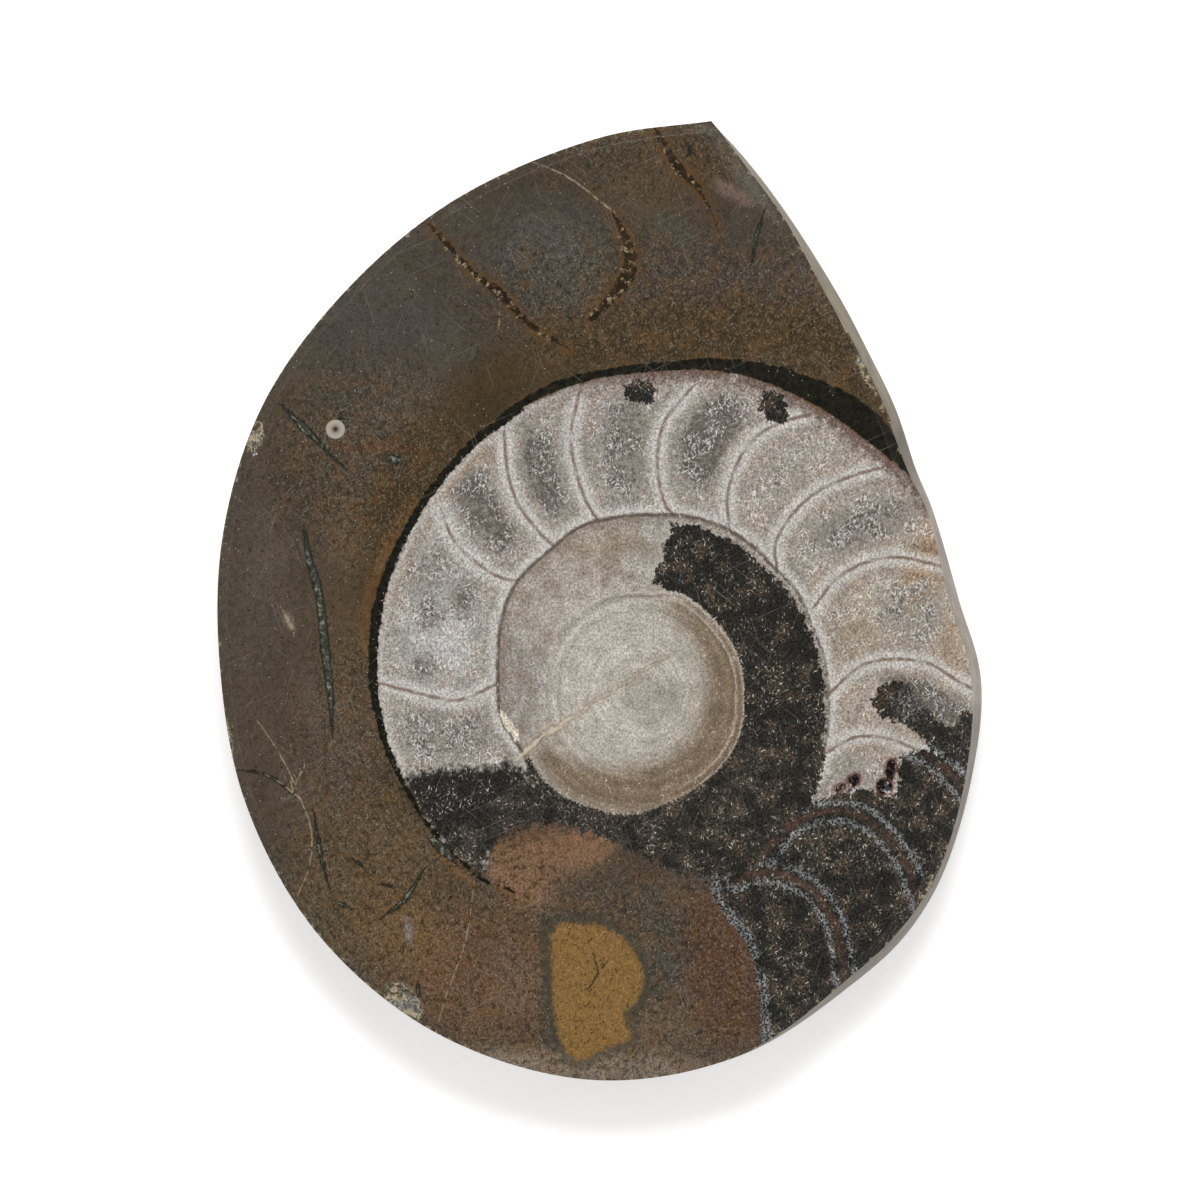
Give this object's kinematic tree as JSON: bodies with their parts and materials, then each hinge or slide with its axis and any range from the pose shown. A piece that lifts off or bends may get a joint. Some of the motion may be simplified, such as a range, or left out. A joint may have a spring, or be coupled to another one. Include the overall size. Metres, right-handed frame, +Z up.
{
  "type": "polished ammonite slab",
  "caption": "Teardrop slab of dark limestone, polished on one face to show a coiled, chambered fossil shell in section; it lies on its flat sawn back as a desk specimen.",
  "frame": {"origin": "under the middle of the slab's box, on the surface that its sawn back rests on", "axes": "+Z up out of the polished face, +Y from the round end towards the teardrop's tip, +X to the right of the polished face"},
  "size_m": [0.0735, 0.0922, 0.015],
  "materials": {
    "fossil_limestone": "polished face over dark olive-brown limestone with grey calcite chambers; ground wall and sawn back are matte"
  },
  "bodies": {
    "root": {"ammonite_slab": "fossil_limestone"}
  },
  "joints": []
}
